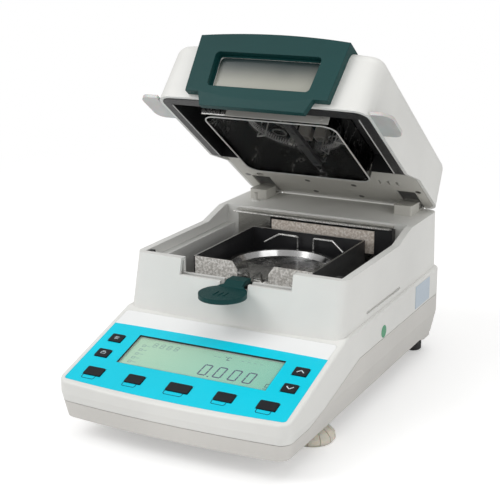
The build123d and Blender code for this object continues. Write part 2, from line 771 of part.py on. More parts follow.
def lid_shell():
    shell = lid_form(0) - lid_form(LID_WALL, SKIRT_DROP)
    shell -= window_space(-2, (90, 135))
    roof_space = lid_form(1)
    boss_low = LID_REAR_SKIRT + PLATE_T + 0.1
    for side in (-1, 1):
        x = side * HINGE_X
        slot = (x - HINGE_SLOT, x + HINGE_SLOT)
        shell -= block(slot, (HINGE_Y - 10, LID_BACK + 2), (LID_SKIRT - 8, LID_REAR_SKIRT + 1))
    for x, y in SCREW_PLACES:
        boss = post(x, y, (boss_low, LID_CROWN), 4) & roof_space
        shell += boss - post(x, y, (boss_low - 1, LID_REAR_SKIRT + 12), 1.5)
    return shell


def lid_bezel():
    """The front bezel: a bowed frame proud of the hood, lapping its roof, with a tab below."""
    crown = ThreePointArc(
        (-BEZEL_HALF[1], 90, BEZEL_TOP), (0, 90, BEZEL_CROWN), (BEZEL_HALF[1], 90, BEZEL_TOP)
    )
    step_z = BEZEL_BOTTOM
    rest = Polyline(
        (BEZEL_HALF[1], 90, BEZEL_TOP),
        (BEZEL_HALF[0], 90, step_z),
        (TAB_HALF[1] + 2, 90, step_z),
        (TAB_HALF[0], 90, TAB_BOTTOM),
        (-TAB_HALF[0], 90, TAB_BOTTOM),
        (-TAB_HALF[1] - 2, 90, step_z),
        (-BEZEL_HALF[0], 90, step_z),
        (-BEZEL_HALF[1], 90, BEZEL_TOP),
    )
    front = extrude(make_face(Curve() + [crown, rest]), amount=45, dir=(0, 1, 0))
    y = LID_FRONT - BEZEL_PROUD
    rake = LID_RAKE * (BEZEL_CROWN - LID_SKIRT) / (LID_SIDE_TOP - LID_SKIRT)
    lap = LID_FRONT + rake + 9
    slab = along_x(
        [
            (y - BEZEL_BOW - 1, TAB_BOTTOM - 1),
            (y - BEZEL_BOW - 1 + rake * 1.1, BEZEL_CROWN + 1),
            (lap, BEZEL_CROWN + 1),
            (lap, BEZEL_BOTTOM),
            (y + 4, BEZEL_BOTTOM),
            (y + 4, TAB_BOTTOM - 1),
        ],
        BASE_W,
    )
    bow = plan(LID_HALF, y, LID_BACK, BEZEL_BOW, TAB_BOTTOM - 2, 4)
    body = front & slab & extrude(bow, amount=90, dir=(0, 0, 1))
    body -= lid_form(-0.1)
    return body - window_space(0, (90, 140))


def lid_window():
    pane = lid_form(0.4) - lid_form(2.4)
    return pane & window_space(-2.2, (90, 135))


def lid_grip(side):
    """A flat finger tab on the side of the hood's lower edge."""
    near, far = LID_HALF + 0.05, LID_HALF + 18
    x = sorted((side * near, side * far))
    tab = block(x, (118, 157), (LID_SKIRT, LID_SKIRT + 3))
    outer = [
        edge
        for edge in tab.edges().filter_by(Axis.Z)
        if abs(edge.center().X) > LID_HALF + 5
    ]
    return fillet(outer, 9)


def lid_frame():
    """The black tray inside the hood's lower edge: a flat flange round a recess."""
    inside = lid_form(LID_WALL + RUN, SKIRT_DROP)
    y = (LID_FRONT, FRAME_BACK)
    flange = block((-LID_HALF, LID_HALF), y, (FRAME_Z, FRAME_Z + 2)) & inside
    half, front, back = LID_HALF - 12, LID_FRONT + 13, FRAME_BACK - 7
    walls = block((-half - 1.2, half + 1.2), (front - 1.2, back + 1.2), (FRAME_Z, FRAME_TOP + 1.2))
    recess = block((-half, half), (front, back), (FRAME_Z - 1, FRAME_TOP))
    rising = along_x(
        [
            (RAMP_START - 1, FRAME_Z - 2),
            (RAMP_START - 1, FRAME_Z),
            (RAMP_END, FRAME_Z + DECK_TOP - TUB_TOP + 1),
            (RAMP_END, FRAME_Z - 2),
        ],
        LID_HALF,
    )
    hole = rounded_block(
        (-RIM_HALF - 0.5, RIM_HALF + 0.5), (RIM_Y[0] - 0.5, RIM_Y[1] + 0.5), (100, 160), 12
    )
    return flange + walls - recess - hole - rising


def reflector():
    """The polished box over the pan, open below and rounded at its corners."""
    outer = rounded_block((-RIM_HALF, RIM_HALF), RIM_Y, (RIM_Z, HEAD_TOP), 12)
    inner = rounded_block(
        (-RIM_HALF + 1.2, RIM_HALF - 1.2), (RIM_Y[0] + 1.2, RIM_Y[1] - 1.2), (RIM_Z - 1, HEAD_TOP - 1.2), 10.8
    )
    return outer - inner


def heat_glass():
    return rounded_block(
        (-RIM_HALF + 1.5, RIM_HALF - 1.5), (RIM_Y[0] + 1.5, RIM_Y[1] - 1.5), GLASS_Z, 10.5
    )


def ring_lamp():
    """A halogen tube bent to a ring, its two ends turned up into the sockets."""
    tube = ring(LAMP_R, LAMP_TUBE, (0, LAMP_Y, LAMP_Z))
    tube -= block((-8, 8), (LAMP_Y, LAMP_Y + LAMP_R + 10), (LAMP_Z - 10, LAMP_Z + 10))
    for side in (-1, 1):
        y = LAMP_Y + (LAMP_R**2 - 64) ** 0.5
        tube += post(side * 8, y, (LAMP_Z - LAMP_TUBE - 0.6, SOCKET_Z - 0.2), LAMP_TUBE + 0.6)
    return tube


def lamp_sockets():
    y = LAMP_Y + (LAMP_R**2 - 64) ** 0.5
    ends = [
        rounded_block((side * 8 - 6, side * 8 + 6), (y - 6, y + 6), (SOCKET_Z, HEAD_TOP - 1.3), 2)
        for side in (-1, 1)
    ]
    return Compound(children=ends)


def sensor_bridge():
    """A bar across the reflector that holds the temperature probe under the lamp."""
    bar = Pos(0, LAMP_Y, BRIDGE_Z) * Rot(0, 0, -52) * Box(138, 7, 1.5)
    inside = rounded_block(
        (-RIM_HALF + 1.4, RIM_HALF - 1.4), (RIM_Y[0] + 1.4, RIM_Y[1] - 1.4), (100, 160), 10
    )
    return (bar & inside) - post(0, LAMP_Y, (100, 160), 2.05)


def temperature_probe():
    stem = post(0, LAMP_Y, (GLASS_Z[1] + 0.5, HEAD_TOP - 1.4), 2.0)
    return stem + post(0, LAMP_Y, (HEAD_TOP - 8, HEAD_TOP - 1.4), 5)


def lid_rear_plate():
    through = (LID_REAR_SKIRT - 8, HEAD_TOP)
    z = (LID_REAR_SKIRT, LID_REAR_SKIRT + PLATE_T)
    plate = block((-LID_HALF, LID_HALF), (FRAME_BACK + 0.4, LID_BACK), z)
    plate &= lid_form(LID_WALL + RUN, SKIRT_DROP)
    plate -= block((-RIM_HALF - 0.5, RIM_HALF + 0.5), (200, RIM_Y[1] + 0.5), through)
    for side in (-1, 1):
        x = side * HINGE_X
        plate -= block((x - HINGE_SLOT, x + HINGE_SLOT), (BLOCK_Y[0] - 4, LID_BACK), through)
    plate -= post(SWITCH_X, SWITCH_Y, through, 3.8)
    for k in range(3):
        x = 55 + 8.5 * k
        plate -= block((x - 1.1, x + 1.1), (FRAME_BACK + 36, FRAME_BACK + 44), through)
    for x, y in SCREW_PLACES:
        plate -= post(x, y, (LID_REAR_SKIRT - 8, LID_REAR_SKIRT + 1.2), 2.9) + post(x, y, through, 1.6)
    return plate


def lid_screws():
    screws = []
    for x, y in SCREW_PLACES:
        head = post(x, y, (LID_REAR_SKIRT + 0.1, LID_REAR_SKIRT + 1.2), 2.7)
        screws.append(head + post(x, y, (LID_REAR_SKIRT + 1, LID_REAR_SKIRT + 11), 1.45))
    return Compound(children=screws)


# Feet
def foot_form(inset):
    """The thumb wheel's rounded form, drawn in from its surface."""
    outline = Polyline(
        (0, 0, 0),
        (FOOT_R - 2 - inset, 0, 0),
        (FOOT_R - inset, 0, 2.5),
        (FOOT_R - 0.6 - inset, 0, 6.0),
        (FOOT_R - 3.5 - inset, 0, 9.2),
        (8, 0, FOOT_H - 1 - inset),
        (0, 0, FOOT_H - 1 - inset),
        close=True,
    )
    return revolve(make_face(outline), Axis.Z)


def level_foot(side):
    """A thumb wheel parted by radial grooves, on a stud that screws into the base."""
    rim = foot_form(0) - foot_form(0.9) - post(0, 0, (-1, 1.2), FOOT_R + 1) - post(0, 0, (0, FOOT_H), 9.5)
    wheel = foot_form(0)
    blade = Pos(FOOT_R / 2, 0, FOOT_H / 2) * Box(FOOT_R + 2, 0.8, FOOT_H)
    for k in range(FOOT_GROOVES):
        turn = (k + 0.5) * 360 / FOOT_GROOVES
        wheel -= (Rot(0, 0, turn) * blade) & rim
    wheel += post(0, 0, (FOOT_H - 3, PART_FRONT_Z - 3), STUD_R)
    return Pos(side * FOOT_X, FOOT_Y, 0) * wheel


def rear_pads():
    pads = []
    for side in (-1, 1):
        pad = post(side * PAD_X, PAD_Y, (0, LEG_BOTTOM), PAD_R)
        low = pad.edges().sort_by(Axis.Z)[0]
        plug = post(side * PAD_X, PAD_Y, (LEG_BOTTOM - 2, LEG_BOTTOM + 2.8), PAD_R - 2.3)
        pads.append(chamfer(low, 1.2) + plug)
    return Compound(children=pads)


def power_inlet():
    x, half = REAR_ACROSS["inlet"], INLET
    flange = block((x - half[0] - 2, x + half[0] + 2), (REAR_FACE + 0.1, REAR_FACE + 1.8),
                   (REAR_Z - half[1] - 1.5, REAR_Z + half[1] + 1.5))
    body = block((x - half[0], x + half[0]), (REAR_FACE - 22, REAR_FACE + 1),
                 (REAR_Z - half[1], REAR_Z + half[1]))
    pocket = rounded_socket(x)
    shell = flange + body - pocket
    for dx, dz in ((-7, -1.5), (0, 2.5), (7, -1.5)):
        shell += block((x + dx - 1, x + dx + 1), (REAR_FACE - 18, REAR_FACE - 4),
                       (REAR_Z + dz - 2, REAR_Z + dz + 2))
    return shell


def rounded_socket(x):
    """The six-sided recess that a mains plug goes into."""
    w, h = INLET[0] - 2, INLET[1] - 2
    outline = Polyline(
        (x - w, REAR_FACE - 16, REAR_Z - h),
        (x + w, REAR_FACE - 16, REAR_Z - h),
        (x + w, REAR_FACE - 16, REAR_Z + h - 5),
        (x + w - 5, REAR_FACE - 16, REAR_Z + h),
        (x - w + 5, REAR_FACE - 16, REAR_Z + h),
        (x - w, REAR_FACE - 16, REAR_Z + h - 5),
        close=True,
    )
    return extrude(make_face(outline), amount=22, dir=(0, 1, 0))


def power_rocker():
    """The mains switch's rocker, tipped to its off side."""
    x, (half_x, half_z) = REAR_ACROSS["rocker"], ROCKER
    w = half_x - 0.4
    h = half_z - 1.0
    outline = Polyline(
        (x - w, REAR_FACE - 9, REAR_Z - h + 2),
        (x - w, REAR_FACE + 1.6, REAR_Z - h),
        (x - w, REAR_FACE + 0.6, REAR_Z),
        (x - w, REAR_FACE + 1.6, REAR_Z + h),
        (x - w, REAR_FACE - 9, REAR_Z + h - 2),
        close=True,
    )
    body = extrude(make_face(outline), amount=2 * w, dir=(1, 0, 0))
    body += Pos(x, ROCKER_PIVOT, REAR_Z) * Rot(0, 90, 0) * Cylinder(2.5, 2 * half_x)
    return body.rotate(Axis((x, ROCKER_PIVOT, REAR_Z), (1, 0, 0)), -ROCKER_TILT)


def serial_port():
    x, half = REAR_ACROSS["serial"], SERIAL
    flange = block((x - half[0] - 1.5, x + half[0] + 1.5), (REAR_FACE + 0.1, REAR_FACE + 1),
                   (REAR_Z - half[1], REAR_Z + half[1]))
    body = block((x - half[0] + 6, x + half[0] - 6), (REAR_FACE - 10, REAR_FACE + 1),
                 (REAR_Z - half[1] + 1, REAR_Z + half[1] - 1))
    wide, tall = 8.4, 4.4
    up = (REAR_Z - tall, REAR_Z + tall)
    shell = rounded_block((x - wide, x + wide), (REAR_FACE + 0.5, REAR_FACE + 6), up, 1)
    inner_up = (REAR_Z - tall + 0.6, REAR_Z + tall - 0.6)
    hollow = block((x - wide + 0.6, x + wide - 0.6), (REAR_FACE + 2, REAR_FACE + 8), inner_up)
    return flange + body + shell - hollow


def main_board():
    z = FLOOR_IN + 5.0
    right, back = BASE_W / 2 - 10.5, BASE_D - 76
    board = block((28, right), (110, back), (z, z + BOARD_T))
    for x in (32, right - 4):
        for y in (116, back - 6):
            board += post(x, y, (FLOOR_IN + 0.2, z), 2.5)
    board += block((40, 70), (130, 155), (z, z + 4)) + block((40, 62), (180, 210), (z, z + 14))
    for k in range(4):
        board += post(76, 140 + 22 * k, (z, z + 16), 5)
    return board


def power_transformer():
    left, back = -BASE_W / 2 + 16.5, BASE_D - 80
    low = FLOOR_IN + 0.2
    across = (left, left + 52)
    core = block(across, (back - 50, back), (low, low + 38))
    for near in (8, 32):
        window = block((left - 1, left + 53), (back - 50 + near, back - 40 + near), (low + 7, low + 31))
        core -= window
    coil = rounded_block((left + 8, left + 44), (back - 54, back + 4), (low + 8, low + 30), 4)
    return core + coil


def side_plate():
    x = BASE_W / 2
    return block((x + 0.02, x + 0.5), (BASE_D - 70, BASE_D - 32), (58, 79))


def round_sticker():
    x = BASE_W / 2
    return Pos(x + 0.15, 190, 62) * Rot(0, 90, 0) * Cylinder(5.5, 0.25)


save("lower_housing", lower_housing())
save("upper_housing", upper_housing())
save("keypad_overlay", keypad_overlay())
save("lcd_window", lcd_window())
save("lcd_module", lcd_module())
save("display_board", display_board())
for item in KEYS:
    save(item[0], key_cap(item))
save("load_cell_block", load_cell_block())
save("load_cell", load_cell())
save("load_carrier", load_carrier())
save("pan_carrier", pan_carrier())
save("chamber_floor", chamber_floor())
save("heat_plate", heat_plate())
save("rear_baffle", rear_baffle())
save("baffle_plate", baffle_plate())
save("draft_shield", draft_shield())
save("shield_front_plates", shield_front_plates())
save("lifter_wire", lifter_wire())
save("lifter_grip", lifter_grip())
save("sample_pan", sample_pan())
save("lid_switch_pin", lid_switch_pin())
save("corner_bumpers", corner_bumpers())
save("hinge_brackets", hinge_brackets())
save("hinge_pins", hinge_pins())
save_lid("hinge_leaves", hinge_leaves())
save_lid("lid_shell", lid_shell())
save_lid("lid_bezel", lid_bezel())
save_lid("lid_window", lid_window())
save_lid("lid_grip_left", lid_grip(-1))
save_lid("lid_grip_right", lid_grip(1))
save_lid("lid_frame", lid_frame())
save_lid("reflector", reflector())
save_lid("heat_glass", heat_glass())
save_lid("ring_lamp", ring_lamp())
save_lid("lamp_sockets", lamp_sockets())
save_lid("sensor_bridge", sensor_bridge())
save_lid("temperature_probe", temperature_probe())
save_lid("lid_rear_plate", lid_rear_plate())
save_lid("lid_screws", lid_screws())
save("level_foot_left", level_foot(-1))
save("level_foot_right", level_foot(1))
save("rear_pads", rear_pads())
save("power_inlet", power_inlet())
save("power_rocker", power_rocker())
save("serial_port", serial_port())
save("main_board", main_board())
save("power_transformer", power_transformer())
save("side_plate", side_plate())
save("round_sticker", round_sticker())
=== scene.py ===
"""Moisture analyzer with its lid open: the finished look of every piece."""
import json
import math

import bmesh
import bpy
from mathutils import Matrix, Vector


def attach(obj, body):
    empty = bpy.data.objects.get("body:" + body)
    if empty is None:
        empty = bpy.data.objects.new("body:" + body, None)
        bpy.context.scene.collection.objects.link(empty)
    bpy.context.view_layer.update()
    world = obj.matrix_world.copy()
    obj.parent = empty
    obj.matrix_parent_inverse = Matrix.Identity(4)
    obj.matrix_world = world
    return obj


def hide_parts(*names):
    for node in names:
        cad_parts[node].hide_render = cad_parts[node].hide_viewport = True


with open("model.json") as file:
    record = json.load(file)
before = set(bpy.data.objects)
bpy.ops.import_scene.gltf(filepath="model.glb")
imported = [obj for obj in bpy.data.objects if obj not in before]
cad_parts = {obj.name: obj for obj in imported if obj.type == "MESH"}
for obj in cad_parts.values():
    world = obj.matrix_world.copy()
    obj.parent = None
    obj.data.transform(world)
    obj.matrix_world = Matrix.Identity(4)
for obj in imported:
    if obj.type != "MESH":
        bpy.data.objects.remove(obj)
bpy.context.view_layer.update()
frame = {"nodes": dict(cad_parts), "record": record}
nodes = frame["nodes"]

MM = 0.001
ORIGIN_BACK = 179.0
PANEL_ANGLE = math.radians(16.5)
LID_OPEN = math.radians(35)
PANEL_FOOT = (0, 4, 50)
HINGE_AXIS = (0, 336, 132.5)


def place(x, y, z):
    """A point given in millimetres from the base's front, in the model's metres."""
    return Vector((x, y - ORIGIN_BACK, z)) * MM


# Frames in which pieces are drawn in millimetres: the sloped panel, the whole standing, the opened lid
PANEL = Matrix.Translation(place(*PANEL_FOOT)) @ Matrix.Rotation(PANEL_ANGLE, 4, "X") @ Matrix.Scale(MM, 4)
HINGE = place(*HINGE_AXIS)
SWING = Matrix.Translation(HINGE) @ Matrix.Rotation(-LID_OPEN, 4, "X") @ Matrix.Translation(-HINGE)
STAND = Matrix.Translation((0, -ORIGIN_BACK * MM, 0)) @ Matrix.Scale(MM, 4)
LID = SWING @ STAND


# Camera, fitted to the straight edges of the base
CAMERA_PLACE = (443.39, -733.40, 410.04)
CAMERA_TILT, CAMERA_TURN = 74.25, 26.94
camera_data = bpy.data.cameras.new("camera")
camera_data.lens = 87.12
camera_data.sensor_width = 36
camera = bpy.data.objects.new("camera", camera_data)
camera.location = place(*CAMERA_PLACE)
camera.rotation_euler = (math.radians(CAMERA_TILT), 0, math.radians(CAMERA_TURN))
bpy.context.scene.collection.objects.link(camera)
bpy.context.scene.camera = camera
bpy.context.scene.view_settings.view_transform = "Standard"


# Node helpers
class Paint:
    """A material with its Principled shader and short calls for the nodes that feed it."""

    def __init__(self, name, colour, roughness=0.5, metallic=0.0, **sockets):
        self.mat = bpy.data.materials.new(name)
        self.mat.use_nodes = True
        self.tree = self.mat.node_tree
        self.tree.nodes.clear()
        self.out = self.tree.nodes.new("ShaderNodeOutputMaterial")
        self.shader = self.tree.nodes.new("ShaderNodeBsdfPrincipled")
        self.link(self.shader.outputs["BSDF"], self.out.inputs["Surface"])
        self.put("Base Color", (*colour, 1))
        self.put("Roughness", roughness)
        self.put("Metallic", metallic)
        for socket, value in sockets.items():
            self.put(socket.replace("_", " "), value)
        self.spot = None

    def link(self, a, b):
        self.tree.links.new(a, b)

    def put(self, socket, value):
        """Sets a socket of the shader to a constant, or links an output to it."""
        target = self.shader.inputs[socket]
        if isinstance(value, bpy.types.NodeSocket):
            self.link(value, target)
        else:
            target.default_value = value

    def node(self, kind, **inputs):
        """Adds a node and fills its named inputs with constants or links."""
        made = self.tree.nodes.new("ShaderNode" + kind)
        for key, value in inputs.items():
            socket = made.inputs[key.replace("_", " ")]
            if isinstance(value, bpy.types.NodeSocket):
                self.link(value, socket)
            else:
                socket.default_value = value
        return made

    def where(self, matrix=None, stretch=(1, 1, 1)):
        """Object coordinates, stretched along an axis or turned into the frame of a surface."""
        if self.spot is None:
            self.spot = self.tree.nodes.new("ShaderNodeTexCoord").outputs["Object"]
        mapped = self.node("Mapping", Vector=self.spot)
        mapped.inputs["Scale"].default_value = stretch
        if matrix is not None:
            shift, turn, scale = matrix.inverted().decompose()
            mapped.inputs["Location"].default_value = shift
            mapped.inputs["Rotation"].default_value = turn.to_euler()
            mapped.inputs["Scale"].default_value = scale
        return mapped.outputs["Vector"]

    def grain(self, scale, detail, vector=None):
        """Noise of a size, with finer noise laid over it."""
        made = self.node("TexNoise", Scale=scale, Detail=detail, Roughness=0.55)
        self.link(vector if vector is not None else self.where(), made.inputs["Vector"])
        return made.outputs["Fac"]

    def cells(self, scale):
        """Distance to the middles of small cells."""
        made = self.node("TexVoronoi", Scale=scale)
        self.link(self.where(), made.inputs["Vector"])
        return made.outputs["Distance"]

    def ramp(self, value, low, high, first, last):
        """A value between two limits turned into a mix of two colours."""
        spread = self.node("MapRange", Value=value, From_Min=low, From_Max=high)
        return self.mix(spread.outputs["Result"], first, last)

    def mix(self, share, first, last):
        """A mix of two colours by a share, which may be a link."""
        made = self.tree.nodes.new("ShaderNodeMix")
        made.data_type = "RGBA"
        for index, value in ((0, share), (6, first), (7, last)):
            socket = made.inputs[index]
            if isinstance(value, bpy.types.NodeSocket):
                self.link(value, socket)
            elif index:
                socket.default_value = (*value, 1)
            else:
                socket.default_value = value
        return made.outputs[2]

    def span(self, value, low, high, out_low, out_high):
        """A value between two limits, carried over to two others."""
        made = self.node(
            "MapRange", Value=value, From_Min=low, From_Max=high, To_Min=out_low, To_Max=out_high
        )
        return made.outputs["Result"]

    def math(self, operation, first, second=0.0):
        """A sum, product or other operation on two values."""
        made = self.tree.nodes.new("ShaderNodeMath")
        made.operation = operation
        for index, value in enumerate((first, second)):
            if isinstance(value, bpy.types.NodeSocket):
                self.link(value, made.inputs[index])
            else:
                made.inputs[index].default_value = value
        return made.outputs[0]

    def relief(self, height, depth, strength, edge=0.0):
        """Bump from a height, on edges softened over a small radius."""
        made = self.node("Bump", Strength=strength, Distance=depth, Height=height)
        if edge:
            soft = self.node("Bevel", Radius=edge)
            soft.samples = 4
            self.link(soft.outputs["Normal"], made.inputs["Normal"])
        self.put("Normal", made.outputs["Normal"])


def tint(colour, factor):
    """A colour made darker or lighter by a factor."""
    return tuple(min(1.0, c * factor) for c in colour)


def moulded(name, colour, roughness, texture=900.0, depth=0.00006, edge=0.0006, wear=0.05, shine=0.5):
    """Moulded plastic with a fine spark-eroded texture and faint clouding."""
    paint = Paint(name, colour, roughness, Specular_IOR_Level=shine)
    cloud = paint.grain(9.0, 4.0)
    speck = paint.grain(texture, 2.0)
    ground = paint.ramp(cloud, 0.35, 0.65, tint(colour, 1 - wear), tint(colour, 1 + wear / 2))
    paint.put("Base Color", ground)
    paint.put("Roughness", paint.span(speck, 0.3, 0.7, roughness - 0.08, roughness + 0.1))
    paint.relief(speck, depth, 0.5, edge)
    return paint.mat


def gloss(name, colour, roughness, edge):
    """Smooth glossy plastic with faint waviness and handling marks."""
    paint = Paint(name, colour, roughness, Coat_Weight=0.35, Coat_Roughness=0.12)
    wave = paint.grain(14.0, 3.0)
    smear = paint.grain(60.0, 5.0, paint.where(stretch=(1, 0.25, 1)))
    paint.put("Base Color", paint.ramp(wave, 0.3, 0.7, tint(colour, 0.88), tint(colour, 1.12)))
    paint.put("Roughness", paint.span(smear, 0.35, 0.7, roughness - 0.05, roughness + 0.12))
    paint.relief(wave, 0.0003, 0.15, edge)
    return paint.mat


def sheet_metal(name, colour, roughness=0.3, stretch=(1, 1, 1), scale=400.0, edge=0.0003):
    """Metal sheet with drawn or brushed lines along one axis."""
    paint = Paint(name, colour, roughness, 1.0)
    line = paint.grain(scale, 4.0, paint.where(stretch=stretch))
    cloud = paint.grain(25.0, 4.0)
    paint.put("Base Color", paint.ramp(cloud, 0.3, 0.7, tint(colour, 0.85), tint(colour, 1.08)))
    paint.put("Roughness", paint.span(line, 0.3, 0.7, roughness - 0.1, roughness + 0.15))
    paint.relief(line, 0.00008, 0.35, edge)
    return paint.mat


WHITE = (0.77, 0.77, 0.745)
LOWER_WHITE = (0.655, 0.64, 0.61)
CYAN = (0.0, 0.62, 0.80)
TEAL = (0.004, 0.048, 0.047)
BAND_WHITE = (0.86, 0.87, 0.87)
BAND_LOW, BAND_BOW = 80.5, 0.00012


def overlay_film():
    """Printed film: cyan below, a white band above the display, a faint satin grain."""
    paint = Paint("overlay_cyan", CYAN, 0.36, Specular_IOR_Level=0.25)
    across = paint.node("SeparateXYZ", Vector=paint.where(PANEL))
    off_middle = paint.math("ABSOLUTE", across.outputs["X"])
    bow = paint.math("MULTIPLY", paint.math("POWER", off_middle, 2.0), BAND_BOW)
    height = paint.math("ADD", across.outputs["Y"], bow)
    band = paint.math("GREATER_THAN", height, BAND_LOW)
    cloud = paint.grain(12.0, 3.0)
    film = paint.ramp(cloud, 0.3, 0.7, tint(CYAN, 0.95), tint(CYAN, 1.04))
    paint.put("Base Color", paint.mix(band, film, BAND_WHITE))
    fine = paint.grain(1600.0, 2.0)
    paint.put("Roughness", paint.span(fine, 0.3, 0.7, 0.27, 0.4))
    paint.relief(fine, 0.00003, 0.3)
    return paint.mat


def speckled(name, base, dark, light):
    """Pressed heat-proof board: small light and dark flecks in a matt ground."""
    paint = Paint(name, base, 0.7)
    fleck = paint.grain(420.0, 2.0)
    blot = paint.cells(330.0)
    ground = paint.ramp(fleck, 0.42, 0.62, dark, base)
    paint.put("Base Color", paint.mix(paint.span(blot, 0.12, 0.3, 0.75, 0.0), ground, light))
    paint.relief(fleck, 0.0001, 0.5, 0.0003)
    return paint.mat


def smoked_window():
    """The viewing window in the hood: a smoked tint with painted shade, dark under its upper edge, paler
    and greyer lower down.
    """
    paint = Paint("window_smoke", (0.2, 0.2, 0.18), 0.22, Coat_Weight=0.4)
    height = paint.node("SeparateXYZ", Vector=paint.where(LID)).outputs["Z"]
    cloud = paint.math("MULTIPLY", paint.math("SUBTRACT", paint.grain(16.0, 2.0), 0.5), 8.0)
    # Painted shade: the colour darkens towards the window's upper edge.
    soft = paint.node("MapRange", Value=paint.math("ADD", height, cloud), From_Min=141.0, From_Max=169.0)
    soft.interpolation_type = "SMOOTHSTEP"
    paint.put("Base Color", paint.mix(soft.outputs["Result"], (0.38, 0.38, 0.33), (0.02, 0.035, 0.036)))
    paint.relief(paint.grain(30.0, 2.0), 0.0002, 0.06)
    return paint.mat


def dark_mirror(name, colour):
    """Polished sheet dulled by heat: dark and dented, with painted reflections as patches of thin bright
    lines.
    """
    paint = Paint(name, colour, 0.1, 1.0)
    dent = paint.grain(95.0, 2.0)
    heat = paint.grain(24.0, 3.0)
    glint_ridge = paint.math("ABSOLUTE", paint.math("SUBTRACT", paint.grain(62.0, 3.0), 0.5))
    glint_line = paint.span(glint_ridge, 0.004, 0.022, 1.0, 0.0)
    glint_patch = paint.span(paint.grain(38.0, 1.0), 0.47, 0.58, 0.0, 1.0)
    ground = paint.ramp(heat, 0.35, 0.65, tint(colour, 0.45), tint(colour, 1.6))
    # Painted reflections: thin bright lines, in patches, mixed into the base colour.
    paint.put("Base Color", paint.mix(paint.math("MULTIPLY", glint_line, glint_patch), ground, (0.95, 0.95, 0.92)))
    paint.put("Roughness", paint.span(heat, 0.3, 0.7, 0.05, 0.16))
    paint.relief(dent, 0.0022, 0.8)
    return paint.mat


def lcd_panel():
    """Lit display: beige-green at its left, greener to the right, with a fine cell pattern."""
    paint = Paint("lcd_green", (0.36, 0.60, 0.46), 0.4)
    spot = paint.node("SeparateXYZ", Vector=paint.where(PANEL))
    drift = paint.math("ADD", spot.outputs["X"], paint.math("MULTIPLY", spot.outputs["Y"], -0.5))
    lit = paint.ramp(drift, -85.0, 50.0, (0.41, 0.66, 0.47), (0.17, 0.55, 0.41))
    fine = paint.cells(2600.0)
    paint.put("Base Color", paint.mix(paint.span(fine, 0.2, 0.6, 0.0, 0.04), lit, (0.2, 0.36, 0.28)))
    paint.relief(fine, 0.00001, 0.1)
    return paint.mat


def cloudy(name, colour, roughness=0.3):
    """Milky moulded plastic that lets a little light through."""
    paint = Paint(
        name, colour, roughness, Subsurface_Weight=0.35, Subsurface_Scale=0.004, Coat_Weight=0.2
    )
    cloud = paint.grain(60.0, 4.0)
    paint.put("Base Color", paint.ramp(cloud, 0.3, 0.7, tint(colour, 0.9), tint(colour, 1.06)))
    paint.put("Roughness", paint.span(cloud, 0.3, 0.7, roughness - 0.06, roughness + 0.12))
    paint.relief(cloud, 0.0002, 0.2, 0.0004)
    return paint.mat


def thin_clear(name, colour, alpha):
    """A thin clear sheet: almost all is seen through, the rest is its shine and a trace of dust."""
    paint = Paint(name, colour, 0.06, Alpha=alpha)
    dust = paint.grain(90.0, 5.0)
    paint.put("Roughness", paint.span(dust, 0.35, 0.7, 0.04, 0.16))
    paint.relief(paint.grain(12.0, 2.0), 0.0004, 0.08)
    return paint.mat


FINISHES = {
    "body_plastic": moulded("body_plastic", WHITE, 0.42),
    "lower_plastic": moulded("lower_plastic", LOWER_WHITE, 0.46),
    "overlay_cyan": overlay_film(),
    "lcd_cover": thin_clear("lcd_cover", (0.9, 0.97, 0.95), 0.08),
    "lcd_green": lcd_panel(),
    "board_green": moulded("board_green", (0.02, 0.12, 0.05), 0.4),
    "key_dark": moulded("key_dark", (0.006, 0.007, 0.010), 0.5, 1300.0, 0.00004, 0.0006, 0.2, 0.3),
    "teal_plastic": moulded("teal_plastic", TEAL, 0.45, 1100.0, 0.00005, 0.0008, 0.12, 0.22),
    "window_smoke": smoked_window(),
    "grip_clear": cloudy("grip_clear", (0.56, 0.57, 0.56)),
    "frame_black": moulded("frame_black", (0.018, 0.018, 0.019), 0.38, 500.0),
    "reflector_metal": dark_mirror("reflector_metal", (0.075, 0.075, 0.074)),
    "clear_glass": thin_clear("clear_glass", (0.3, 0.3, 0.3), 0.03),
    "lamp_glass": thin_clear("lamp_glass", (0.3, 0.3, 0.3), 0.2),
    # The white ceramic holders are darkened to a dim grey: painted shade for the dark inside of the lid.
    "ceramic_white": moulded("ceramic_white", (0.3, 0.28, 0.25), 0.6, 700.0),
    "sheet_black": moulded("sheet_black", (0.02, 0.02, 0.022), 0.36, 800.0, 0.00008, 0.0003),
    "sheet_steel": sheet_metal("sheet_steel", (0.62, 0.61, 0.58), 0.3, (1, 1, 10)),
    "stone_plate": speckled("stone_plate", (0.86, 0.79, 0.72), (0.62, 0.54, 0.47), (0.95, 0.92, 0.88)),
    "plate_speckled": speckled("plate_speckled", (0.86, 0.84, 0.81), (0.5, 0.48, 0.45), (0.96, 0.96, 0.95)),
    "wire_steel": sheet_metal("wire_steel", (0.48, 0.48, 0.47), 0.25, (1, 1, 1), 900.0),
    "pan_aluminium": sheet_metal("pan_aluminium", (0.58, 0.58, 0.58), 0.2, (1, 1, 1), 60.0),
    "plate_grey": moulded("plate_grey", (0.56, 0.55, 0.51), 0.45, 800.0),
    "rubber_dark": moulded("rubber_dark", (0.03, 0.03, 0.03), 0.75, 500.0, 0.0001),
    "foot_beige": cloudy("foot_beige", (0.70, 0.66, 0.57), 0.28),
    "socket_black": moulded("socket_black", (0.014, 0.014, 0.016), 0.4, 800.0),
    "alloy": sheet_metal("alloy", (0.68, 0.68, 0.69), 0.32, (1, 12, 1)),
    "screw_zinc": sheet_metal("screw_zinc", (0.16, 0.155, 0.15), 0.35, (1, 1, 1), 700.0),
    "core_iron": sheet_metal("core_iron", (0.2, 0.2, 0.2), 0.5, (1, 14, 1), 300.0),
    "plate_blank": moulded("plate_blank", (0.5, 0.58, 0.66), 0.35, 900.0, 0.00002, 0.0),
    "sticker_green": gloss("sticker_green", (0.01, 0.30, 0.12), 0.3, 0.0),
}

